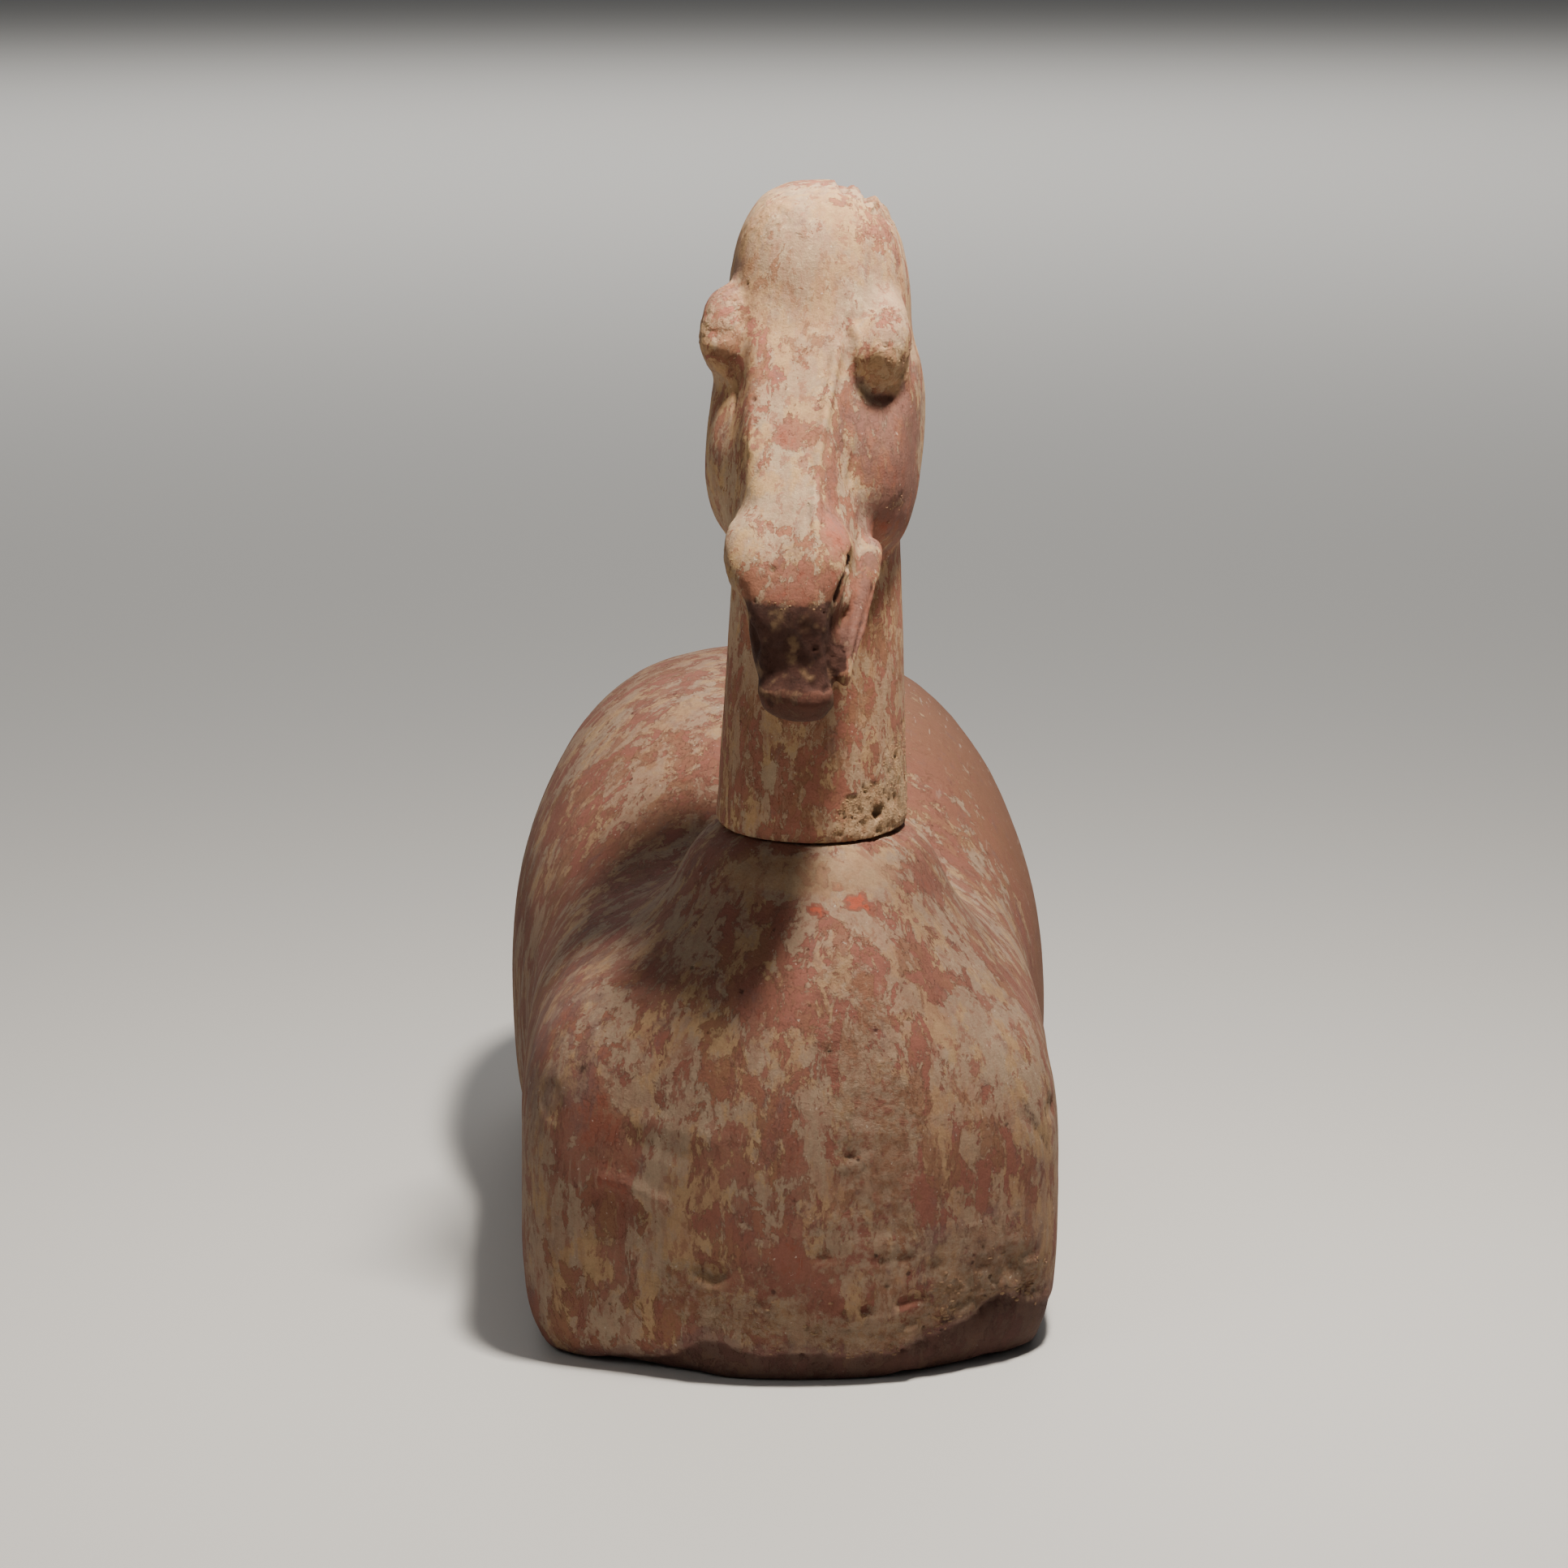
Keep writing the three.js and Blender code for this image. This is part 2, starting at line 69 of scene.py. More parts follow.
def set_up(name, data, azimuth, elevation, distance, target=AIM):
    """A camera or a lamp that looks at a target, from degrees round from the front and degrees up."""
    a, e = math.radians(azimuth), math.radians(elevation)
    outwards = Vector((math.sin(a) * math.cos(e), -math.cos(a) * math.cos(e), math.sin(e)))
    holder = bpy.data.objects.new(name, data)
    holder.location = target + distance * outwards
    holder.rotation_euler = outwards.to_track_quat("Z", "Y").to_euler()
    bpy.context.scene.collection.objects.link(holder)
    return holder


def soft_light(name, size, power, colour):
    """A square lamp."""
    light = bpy.data.lights.new(name, "AREA")
    light.size = size
    light.energy = power
    light.color = colour
    return light


lens = bpy.data.cameras.new("camera")
lens.lens = 105
lens.sensor_width = 36
lens.clip_end = 100
bpy.context.scene.camera = set_up("camera", lens, azimuth=-1.2, elevation=12, distance=2.249)

high_light = soft_light("high lamp", size=0.15, power=39, colour=(1.0, 0.93, 0.84))
left_light = soft_light("left lamp", size=1.2, power=8, colour=(1.0, 0.95, 0.9))
back_light = soft_light("back lamp", size=1.5, power=2, colour=(0.95, 0.97, 1.0))
floor_light = soft_light("floor lamp", size=7.0, power=420, colour=(1.0, 0.98, 0.95))
set_up("high lamp", high_light, azimuth=47, elevation=74.5, distance=1.18)
set_up("left lamp", left_light, azimuth=-46, elevation=40, distance=2.6)
set_up("back lamp", back_light, azimuth=155, elevation=50, distance=3.0)
set_up("floor lamp", floor_light, azimuth=180, elevation=85, distance=4.0, target=FAR_FLOOR)

world = bpy.data.worlds.new("studio")
world.use_nodes = True
background = world.node_tree.nodes["Background"]
background.inputs["Color"].default_value = (0.86, 0.88, 0.9, 1)
background.inputs["Strength"].default_value = 0.1
bpy.context.scene.world = world

floor_mesh = bpy.data.meshes.new("floor")
floor_corners = [(-1, -1), (1, -1), (1, 1), (-1, 1)]
floor_corners = [(x * FLOOR_REACH, y * FLOOR_REACH, FLOOR_LEVEL) for x, y in floor_corners]
floor_mesh.from_pydata(floor_corners, [], [(0, 1, 2, 3)])
floor = bpy.data.objects.new("floor", floor_mesh)
floor_paint = bpy.data.materials.new("pale floor")
floor_paint.use_nodes = True
floor_shader = floor_paint.node_tree.nodes["Principled BSDF"]
floor_shader.inputs["Base Color"].default_value = (0.56, 0.55, 0.53, 1)
floor_shader.inputs["Roughness"].default_value = 0.8
floor_mesh.materials.append(floor_paint)
bpy.context.scene.collection.objects.link(floor)

# The torso. The hollow legless body of the horse, in fired clay, pressed in moulds and joined
# while it was soft. It was coated with cream slip and painted pink-red, and has lain in the
# ground, which has flaked the paint, pitted the chest and broken the lower front edge.

MM = 0.001
CHEST_GRAIN = 2.6 * MM  # the spacing of the torso's fine mesh
CHEST_SMOOTHING = 38  # rounds, until the solid's facets are gone
WELD = 0.01 * MM
BEADS = 12  # between two places of a rope


def smooth_step(low, high, values):
    """0 below low, 1 above high, and an even change between them."""
    t = np.clip((values - low) / (high - low), 0, 1)
    return t * t * (3 - 2 * t)


def noise(points, size, seed):
    """Soft noise from -1 to 1, whose lumps have a size in metres along each axis."""
    q = points / np.broadcast_to(size, 3) + 31.7 * seed
    cell = np.floor(q).astype(np.int64)
    t = q - cell
    t = t * t * (3 - 2 * t)
    total = np.zeros(len(q))
    for corner in range(8):
        step = np.array([corner & 1, corner >> 1 & 1, corner >> 2])
        n = (cell + step) @ np.array([73856093, 19349663, 83492791]) & 0xFFFFFFFF
        n = (n ^ (n >> 15)) * 2246822519 & 0xFFFFFFFF
        n = (n ^ (n >> 13)) * 3266489917 & 0xFFFFFFFF
        value = ((n ^ (n >> 16)) & 0xFFFF) / 32767.5 - 1
        total += value * np.prod(np.where(step, t, 1 - t), axis=1)
    return total


def lumps(points, size, layers, seed):
    """Noise in layers, each half the size of the last and a little over half its height. The size is
    in millimetres, and may differ along each axis."""
    size = np.broadcast_to(np.asarray(size, float) * MM, 3)
    heights = [0.55 ** n for n in range(layers)]
    total = sum(h * noise(points, size * 0.5 ** n, seed + n) for n, h in enumerate(heights))
    return total / sum(heights)


def spot(points, middle, reach, ragged=0.3, seed=0):
    """1 at a place given in millimetres, falling to 0 at a ragged edge."""
    reach = np.broadcast_to(np.asarray(reach, float), 3)
    distance = np.linalg.norm((points - np.array(middle) * MM) / (reach * MM), axis=1)
    near = distance < 2
    distance[near] += ragged * lumps(points[near], 0.5 * reach.min(), 3, 90 + seed)
    return smooth_step(1.1, 0.75, distance)


def stroke(points, path, width):
    """1 on a line through places given in millimetres, falling to 0 at its edge and its ends."""
    path = np.array(path, float) * MM
    steps = np.linalg.norm(np.diff(path, axis=0), axis=1)
    starts = np.concatenate([[0], np.cumsum(steps)[:-1]])
    best = np.full(len(points), np.inf)
    share = np.zeros(len(points))
    for start, end, step, begun in zip(path[:-1], path[1:], steps, starts):
        t = np.clip((points - start) @ (end - start) / step ** 2, 0, 1)
        distance = np.linalg.norm(points - start - t[:, None] * (end - start), axis=1)
        closer = distance < best
        best[closer] = distance[closer]
        share[closer] = (begun + t[closer] * step) / steps.sum()
    ends = smooth_step(0, 0.12, share) * smooth_step(1, 0.88, share)
    reach = width * MM * (0.4 + 0.6 * ends)
    return np.clip(1 - (best / reach) ** 2, 0, 1) ** 2 * (0.35 + 0.65 * ends)


def spots(points, *rows):
    """Spots added up. A row is an amount, then what spot takes."""
    return sum(amount * spot(points, *place) for amount, *place in rows)


def strokes(points, *rows):
    """Strokes added up. A row is an amount, a path and a width."""
    return sum(amount * stroke(points, path, width) for amount, path, width in rows)


class Clay:
    """A fine even mesh of a solid's form, which is worked on as points with outward normals."""

    def __init__(self, node, grain, rounds, give, ropes=()):
        """Ropes of clay, each a radius and the places it runs through, are laid on the solid first."""
        solid = bmesh.new()
        solid.from_mesh(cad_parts[node].data)
        bmesh.ops.remove_doubles(solid, verts=solid.verts, dist=WELD)
        for radius, *path in ropes:
            steps = zip(path[:-1], path[1:])
            for bead in np.concatenate([np.linspace(start, end, BEADS) for start, end in steps]) * MM:
                place = Matrix.Translation(bead)
                bmesh.ops.create_icosphere(solid, subdivisions=2, radius=radius * MM, matrix=place)
        rough = bpy.data.meshes.new(node + " rough")
        solid.to_mesh(rough)
        solid.free()
        blank = bpy.data.objects.new(node + " rough", rough)
        bpy.context.scene.collection.objects.link(blank)
        remesh = blank.modifiers.new("Remesh", "REMESH")
        remesh.mode = "VOXEL"
        remesh.voxel_size = grain
        shape = blank.evaluated_get(bpy.context.evaluated_depsgraph_get())
        self.mesh = bpy.data.meshes.new_from_object(shape)
        bpy.data.objects.remove(blank)
        bpy.data.meshes.remove(rough)
        self.points = np.empty(3 * len(self.mesh.vertices))
        self.mesh.vertices.foreach_get("co", self.points)
        self.points = self.points.reshape(-1, 3)
        self.edges = np.empty(2 * len(self.mesh.edges), np.int64)
        self.mesh.edges.foreach_get("vertices", self.edges)
        self.edges = self.edges.reshape(-1, 2)
        share = give(self.points)
        for _ in range(rounds):
            self.points += 0.5 * share * (self.spread(self.points) - self.points)

    def spread(self, values):
        """Each point's average over its neighbours."""
        first, second = self.edges.T
        count = len(values)
        near = np.bincount(first, minlength=count) + np.bincount(second, minlength=count)
        columns = values.reshape(count, -1).T
        total = [np.bincount(first, c[second], count) + np.bincount(second, c[first], count) for c in columns]
        return (np.array(total) / near).T.reshape(values.shape)

    def normals(self):
        """The outward direction at each point, where the points are now."""
        self.mesh.vertices.foreach_set("co", self.points.ravel())
        self.mesh.update()
        normals = np.empty(3 * len(self.mesh.vertices))
        self.mesh.vertex_normals.foreach_get("vector", normals)
        return normals.reshape(-1, 3)

    def push(self, millimetres):
        """Moves the surface out, or in where the height is less than zero."""
        self.points += self.normals() * (millimetres * MM)[:, None]

    def hollows(self, millimetres):
        """How far each point lies below its surroundings."""
        return self.spread(self.spread(millimetres)) - millimetres

    def pits(self, where, count, radii, depth, seed):
        """The height of uneven pits, scattered where a share from 0 to 1 says."""
        rng = np.random.default_rng(seed)
        middles = rng.choice(len(self.points), count, p=where / where.sum())
        tree = KDTree(len(self.points))
        for n, point in enumerate(self.points):
            tree.insert(point, n)
        tree.balance()
        height = np.zeros(len(self.points))
        for middle in self.points[middles]:
            radius = rng.uniform(*radii) ** 2 / radii[1] * MM
            near = [n for _, n, _ in tree.find_range(middle, 1.6 * radius)]
            distance = np.linalg.norm((self.points[near] - middle) * rng.uniform(0.6, 1.8, 3), axis=1)
            dip = depth * rng.uniform(0.4, 1) * np.clip(1 - (distance / radius) ** 2, 0, 1) ** 1.5
            height[near] = np.minimum(height[near], -dip)
        return height

    def finish(self, name, layers):
        """The finished object, with its paint layers kept as attributes."""
        self.normals()
        for layer, values in layers.items():
            attribute = self.mesh.attributes.new(layer, "FLOAT", "POINT")
            attribute.data.foreach_set("value", values.astype(np.float32))
        self.mesh.shade_smooth()
        self.mesh.name = name
        piece = bpy.data.objects.new(name, self.mesh)
        bpy.context.scene.collection.objects.link(piece)
        return piece


GROUND_BAND = 5 * MM
SEAT_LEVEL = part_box("head_and_neck")[0][2]
SEAT_BACK = -100 * MM


def torso_give(points):
    """How far smoothing moves each point. The undersides and the seat under the neck stay flat."""
    seat = (np.abs(points[:, 2] - SEAT_LEVEL) < 1.5 * MM) & (points[:, 1] < SEAT_BACK)
    flat = (points[:, 2] < GROUND_BAND) | seat
    return np.where(flat[:, None], (0.3, 0.3, 0), 1)


chest = Clay("torso", CHEST_GRAIN, CHEST_SMOOTHING, torso_give)
P = chest.points.copy()
x, y, z = P.T
forward = smooth_step(-150 * MM, -210 * MM, y)
front = smooth_step(-0.1, -0.6, chest.normals()[:, 1]) * smooth_step(-150 * MM, -200 * MM, y)
off_seat = smooth_step(0, 6 * MM, SEAT_LEVEL - 2 * MM - z) + (y > SEAT_BACK)
off_seat = np.clip(off_seat, 0, 1) * smooth_step(0, GROUND_BAND, z)

# the worn places of the chest, and the wavy line along its foot below which the clay is lost
eroded = np.maximum.reduce([
    0.8 * spot(P, (35, -311, 70), (34, 30, 26)),
    spot(P, (40, -308, 120), (24, 30, 42), seed=1),
    spot(P, (95, -295, 55), (38, 30, 24), seed=2),
    0.7 * spot(P, (-30, -307, 45), (44, 30, 20), seed=3),
    0.6 * spot(P, (28, -290, 175), (20, 30, 40), seed=4),
]) * front
BREAK = [
    (-149, 2), (-110, 3), (-60, 9), (-42, 24), (-15, 18), (25, 18),
    (48, 16), (64, 22), (80, 29), (104, 38), (126, 29), (149, 12),
]
break_line = np.interp(x / MM, *zip(*BREAK)) * MM + 5 * MM * lumps(P, 15, 4, 5)
underside = smooth_step(0, 4 * MM, break_line - z) * forward
broken = smooth_step(22 * MM, 0, np.abs(z - break_line - 8 * MM)) * front
broken *= smooth_step(-60 * MM, 20 * MM, x)

CRACK = [(71, -303, 27), (80, -301, 34), (92, -297, 42)]

height = 1.1 * lumps(P, 70, 3, 11) + 0.3 * lumps(P, (10, 10, 24), 3, 14) - 1.3 * underside
height += broken * (1 + smooth_step(60 * MM, 100 * MM, x)) * (3.2 * lumps(P, (16, 16, 8), 4, 17) - 0.9)
height += eroded * (0.9 * lumps(P, (22, 16, 7), 4, 20) - 0.3)
height += spots(
    P,
    (-3.0, (-38, -308, 58), (9.5, 9, 6), 0.2),  # the chip
    (-1.0, (-90, -290, 78), (15, 20, 17), 0.2, 12),  # the hollow under the fold
    (-3.0, (35, -311, 39), (4.5, 6, 3), 0.4),  # the hole over the break
    (-1.5, (13, -308, 8), (5, 14, 10), 0.1),  # the dip in the lower edge
    (-1.6, (129, -251, 121), (8, 10, 6), 0.3),  # a dent in each shoulder
    (-0.8, (-118, -269, 131), (9, 10, 11), 0.3),
)
height += strokes(
    P,
    (1.8, [(-47, -305, 50), (-38, -308, 48), (-29, -309, 51)], 3.5),  # the chip's lower rim
    (1.5, [(-96, -287, 97), (-84, -292, 97), (-69, -298, 91), (-58, -302, 87)], 6),  # the fold
    (-1.0, [(-97, -286, 88), (-85, -291, 87), (-70, -297, 82)], 9),
    (0.8, [(-82, -293, 128), (-69, -296, 127), (-50, -303, 124), (-30, -307, 122)], 9),  # a soft ridge
    (-0.6, [(-84, -293, 119), (-69, -296, 118), (-50, -303, 115)], 9),
    (-2.0, [(48, -310, 41), (57, -309, 44), (66, -307, 45), (72, -306, 42)], 4),  # a groove by the hole
    (1.2, [(48, -310, 35), (58, -309, 38), (68, -307, 39)], 4),
    (-2.2, CRACK, 6),  # the crack in the broken edge
    (1.8, [(36, -309, 22), (48, -308, 24), (62, -306, 27)], 5),  # the ridge over the break
    (-0.8, [(110, -280, 128), (122, -268, 112), (127, -258, 104)], 4),  # scratches
    (-0.7, [(121, -262, 170), (124, -256, 158)], 4),
    (-0.7, [(18, -312, 104), (27, -312, 112), (40, -310, 111), (47, -309, 114)], 3.5),
    (0.8, [(-22, -249, 236), (8, -258, 238), (34, -256, 238)], 9),  # the rim under the neck
)
chipped = np.clip(0.01 + 0.3 * eroded + broken, 0, 1) * (0.05 + front)
height += chest.pits(chipped, 44, (2.8, 5.0), 1.8, 7)
chest.push(height * off_seat)

# how much of each layer of paint and dirt there is. Slip and rose start from a half, the rest from none
slip = 0.5 + spots(
    P,
    (0.08, (0, -311, 85), (44, 40, 44), 0.6, 21),
    (0.3, (15, -262, 238), (52, 40, 12)),
    (0.14, (-105, -250, 90), (30, 60, 50), 0.3, 6),
    (0.12, (-70, -262, 190), (40, 60, 34), 0.3, 7),
    (0.1, (105, -262, 150), (34, 60, 50), 0.3, 8),
    (-0.25, (0, -311, 60), (15, 40, 14), 0.7, 12),
    (-0.2, (-92, -290, 82), (12, 30, 16), 0.9, 13),
    (0.2, (-38, -308, 54), (12, 20, 7)),
)
rose = 0.5 + spots(
    P,
    (0.2, (-95, -285, 118), (30, 40, 20), 0.9, 9),
    (0.12, (-15, -310, 118), (26, 40, 15), 0.9, 10),
    (1.1, (32, -265, 229), (6, 12, 3.5), 0.9, 14),  # four thick spots, which show as vermilion
    (1.1, (12, -270, 226), (4, 12, 2.5), 0.9, 18),
    (1.0, (22, -264, 235), (3, 9, 1.8), 0.9, 19),
    (1.0, (39, -263, 225), (3.5, 9, 2.2), 0.9, 20),
    (0.14, (-88, -290, 86), (14, 30, 16), 0.9, 17),
    (0.06, (-40, -60, 230), (80, 110, 60), 0.3, 11),
)
mauve = np.maximum.reduce([
    0.5 * spot(P, (-110, -250, 160), (30, 80, 60), seed=15),
    0.5 * spot(P, (90, -290, 60), (50, 40, 24), seed=16),
    1.2 * smooth_step(10 * MM, -4 * MM, z - break_line) * forward,
])
# painted shade along the break line, where the chest turns under, and darker marks on the shoulders, on the
# side, in the scratches and in the crack
stain_and_shade = 0.35 * smooth_step(4 * MM, 0, np.abs(z - break_line - 1 * MM)) * front
stain_and_shade *= smooth_step(20 * MM, 60 * MM, x)
stain_and_shade += 0.35 * spot(P, (101, -270, 170), (4, 6, 5)) + strokes(
    P,
    (0.34, [(-111, -270, 158), (-104, -273, 150), (-96, -277, 146)], 6),
    (0.45, [(108, -280, 140), (124, -268, 112), (128, -258, 100)], 5),
    (0.4, [(124, -180, 180), (123, -150, 165)], 6),
    (0.4, CRACK, 6),
)
# painted shade: the underside, the lower front on the horse's left where the edge is broken, and the left
# shoulder
shade = 0.85 * underside + spots(
    P,
    (0.14, (100, -290, 70), (60, 50, 44), 0.4),
    (0.26, (82, -230, 205), (56, 70, 54), 0.4),
)
# painted shade, darker low on the horse's right side and on the top of the haunches
shade += 0.2 * smooth_step(-60 * MM, -130 * MM, x) * smooth_step(170 * MM, 90 * MM, z)
shade += 0.2 * smooth_step(60 * MM, 160 * MM, y) * smooth_step(200 * MM, 270 * MM, z)
torso = chest.finish("torso_clay", {
    "slip": slip,
    "rose": rose,
    "mauve": mauve,
    "bare": np.clip(0.7 * eroded + 0.8 * broken - 0.6 * underside, 0, 1),
    "plain": smooth_step(-60 * MM, 40 * MM, y) * smooth_step(-10 * MM, 60 * MM, x),
    "stain_and_shade": stain_and_shade,
    # painted shade in the hollows of the relief, and the painted shade above
    "painted_shade": np.clip(chest.hollows(height) * 0.14, 0, 0.35) + shade,
    "lime_and_painted_light": spots(P, (0.8, (8, -258, 240), (56, 40, 8), 0.4), (0.8, (-38, -306, 51), (9, 12, 4), 0.3)),
    "grit": np.clip(broken * smooth_step(0.1, 0.5, lumps(P, 12, 2, 50) + 0.25) * (1 - underside), 0, 1),
})


def put(tree, kind, values=None, **settings):
    """A node with its settings, and its inputs filled with values or joined to sockets."""
    made = tree.nodes.new(kind)
    for key, value in settings.items():
        setattr(made, key, value)
    for key, value in (values or {}).items():
        if isinstance(value, bpy.types.NodeSocket):
            tree.links.new(value, made.inputs[key])
        else:
            made.inputs[key].default_value = value
    return made


def sum_of(tree, a, b, times=None):
    """a + b, or a + b * times."""
    if times is None:
        return put(tree, "ShaderNodeMath", {0: a, 1: b}, operation="ADD").outputs[0]
    return put(tree, "ShaderNodeMath", {0: b, 1: times, 2: a}, operation="MULTIPLY_ADD").outputs[0]


def product(tree, a, b):
    """a * b."""
    return put(tree, "ShaderNodeMath", {0: a, 1: b}, operation="MULTIPLY").outputs[0]


def cut(tree, field, low, high):
    """0 below low and 1 above high: the edge of a patch."""
    values = {"Value": field, "From Min": low, "From Max": high}
    return put(tree, "ShaderNodeMapRange", values, interpolation_type="SMOOTHSTEP").outputs[0]


def coat(tree, below, colour, cover, blend="MIX"):
    """A colour laid over what is below it, as far as cover says."""
    inputs = {0: cover, 6: below, 7: colour}
    return put(tree, "ShaderNodeMix", inputs, data_type="RGBA", blend_type=blend).outputs[2]


CREAM = (0.56, 0.385, 0.215, 1)
GREY_CREAM = (0.48, 0.37, 0.265, 1)
PALE_CREAM = (0.68, 0.55, 0.39, 1)
PINK = (0.37, 0.15, 0.112, 1)
RED = (0.36, 0.10, 0.065, 1)
VERMILION = (0.60, 0.13, 0.07, 1)
BROWN = (0.23, 0.115, 0.078, 1)
ORANGE_CLAY = (0.37, 0.185, 0.11, 1)
OCHRE_CLAY = (0.46, 0.287, 0.176, 1)
MAUVE = (0.24, 0.14, 0.13, 1)
# dark brown: grime in pinholes and stains, and painted shade in hollows and shaded places
GRIME_AND_SHADE = (0.058, 0.023, 0.017, 1)
WHITE_LIME = (0.82, 0.75, 0.64, 1)
PAINT_LAYERS = ["slip", "rose", "mauve", "bare", "plain", "stain_and_shade", "painted_shade", "lime_and_painted_light"]


def painted_clay(name, patch, drawn, shift, film):
    """Cream slip over fired clay, with what is left of the pink-red paint on it. The layers are mixed
    by noise in the horse's own coordinates and by the worn places and painted shade that the mesh carries,
    under an overall tint. The islands of paint have a size in millimetres, and are drawn out along an axis."""
    material = bpy.data.materials.new(name)
    material.use_nodes = True
    tree = material.node_tree
    shader = tree.nodes["Principled BSDF"]
    place = put(tree, "ShaderNodeTexCoord").outputs["Object"]
    layer = {key: put(tree, "ShaderNodeAttribute", attribute_name=key).outputs["Fac"] for key in PAINT_LAYERS}

    def mottle(size, detail, roughness=0.6, warp=0.0, stretch=(1, 1, 1), step=0):
        """Noise from 0 to 1, whose patches have a size in millimetres."""
        moved = {"Vector": place, "Location": (shift + step,) * 3, "Scale": stretch}
        values = {"Vector": put(tree, "ShaderNodeMapping", moved).outputs[0], "Scale": 1 / (size * MM)}
        values |= {"Detail": detail, "Roughness": roughness, "Distortion": warp}
        return put(tree, "ShaderNodeTexNoise", values).outputs["Fac"]

    broad = mottle(120, 3)
    zones = mottle(48, 6, 0.6, 0.3, drawn, step=1)
    islands = mottle(patch, 9, 0.72, 0.3, drawn, step=3)
    flakes = mottle(patch * 0.8, 9, 0.72, 0.35, drawn, step=7)
    tones = mottle(22, 6, 0.7, 0.2, drawn, step=5)
    streaks = mottle(4, 6, 0.7, 0.2, (1, 1, 0.14), step=13)
    grainy = mottle(4.5, 6, 0.68)
    fine = mottle(1.1, 4, 0.7)

    # the clay body with its rubbed paint, and the slip in crisp islands on it
    clay = coat(tree, ORANGE_CLAY, PINK, cut(tree, broad, 0.44, 0.56))
    clay = coat(tree, clay, BROWN, product(tree, cut(tree, zones, 0.50, 0.66), 0.75))
    clay = coat(tree, clay, PINK, product(tree, cut(tree, tones, 0.46, 0.54), 0.5))
    clay = coat(tree, clay, coat(tree, ORANGE_CLAY, BROWN, 0.4), product(tree, layer["plain"], 0.9))
    slip = coat(tree, CREAM, GREY_CREAM, cut(tree, tones, 0.44, 0.52))
    slip = coat(tree, slip, OCHRE_CLAY, product(tree, cut(tree, broad, 0.46, 0.60), 0.35))
    slip = coat(tree, slip, PALE_CREAM, product(tree, cut(tree, islands, 0.55, 0.57), 0.45))
    slip_field = sum_of(tree, flakes, sum_of(tree, layer["slip"], -0.5), 0.55)
    slip_field = sum_of(tree, slip_field, sum_of(tree, zones, -0.5), 0.4)
    slip_field = sum_of(tree, slip_field, layer["plain"], -0.16)
    slip_cover = cut(tree, slip_field, 0.475, 0.487)
    rubbed = sum_of(tree, 0.62, cut(tree, streaks, 0.35, 0.6), 0.34)
    colour = coat(tree, clay, slip, product(tree, slip_cover, rubbed))

    # the paint that is left on the slip, in islands, flecks and a wash
    paint_field = sum_of(tree, islands, sum_of(tree, layer["rose"], -0.5), 0.55)
    paint_field = sum_of(tree, paint_field, sum_of(tree, zones, -0.5), -0.4)
    paint_field = sum_of(tree, paint_field, layer["plain"], -0.12)
    pink = coat(tree, PINK, ORANGE_CLAY, cut(tree, broad, 0.5, 0.62))
    pink = coat(tree, pink, BROWN, product(tree, cut(tree, grainy, 0.42, 0.62), 0.5))
    colour = coat(tree, colour, pink, product(tree, cut(tree, paint_field, 0.50, 0.60), 0.3))
    paint_cover = cut(tree, paint_field, 0.545, 0.557)
    colour = coat(tree, colour, pink, product(tree, paint_cover, 0.8))
    colour = coat(tree, colour, RED, product(tree, cut(tree, paint_field, 0.63, 0.70), 0.6))
    colour = coat(tree, colour, VERMILION, product(tree, cut(tree, paint_field, 0.90, 1.00), 0.8))
    flecks = cut(tree, mottle(6, 8, 0.72, 0.3, drawn, step=9), 0.56, 0.575)
    colour = coat(tree, colour, pink, product(tree, flecks, 0.6))
    colour = coat(tree, colour, slip, product(tree, cut(tree, streaks, 0.60, 0.66), 0.4))
    mauve_field = sum_of(tree, mottle(14, 9, 0.75, 0.3, drawn, step=11), layer["mauve"], 0.22)
    colour = coat(tree, colour, MAUVE, product(tree, cut(tree, mauve_field, 0.55, 0.68), 0.6))

    # bare clay, then specks of lime and scratches
    bare_cover = cut(tree, sum_of(tree, grainy, layer["bare"], 0.5), 0.68, 0.88)
    bare = coat(tree, OCHRE_CLAY, GREY_CREAM, cut(tree, grainy, 0.42, 0.58))
    bare = coat(tree, bare, ORANGE_CLAY, product(tree, cut(tree, tones, 0.47, 0.58), 0.45))
    colour = coat(tree, colour, bare, product(tree, bare_cover, 0.75))
    specks = cut(tree, mottle(2.6, 3, 0.5, step=2), 0.70, 0.74)
    colour = coat(tree, colour, WHITE_LIME, product(tree, specks, 0.5))
    scratches = cut(tree, mottle(2.2, 2, 0.4, 0.1, (1, 0.12, 0.06), step=4), 0.68, 0.72)
    colour = coat(tree, colour, WHITE_LIME, product(tree, product(tree, scratches, layer["plain"]), 0.35))

    # grime in pinholes and stains, painted shade in hollows, crumbs of lime, partly painted light, and a tint
    # over all
    cells = put(tree, "ShaderNodeTexVoronoi", {"Vector": place, "Scale": 1 / (8 * MM)})
    chance = put(tree, "ShaderNodeSeparateColor", {"Color": cells.outputs["Color"]}).outputs["Red"]
    few = cut(tree, sum_of(tree, chance, layer["bare"], 0.3), 0.9, 1.02)
    pinholes = cut(tree, sum_of(tree, cells.outputs["Distance"], grainy, 0.6), 0.46, 0.36)
    pinholes = product(tree, pinholes, few)
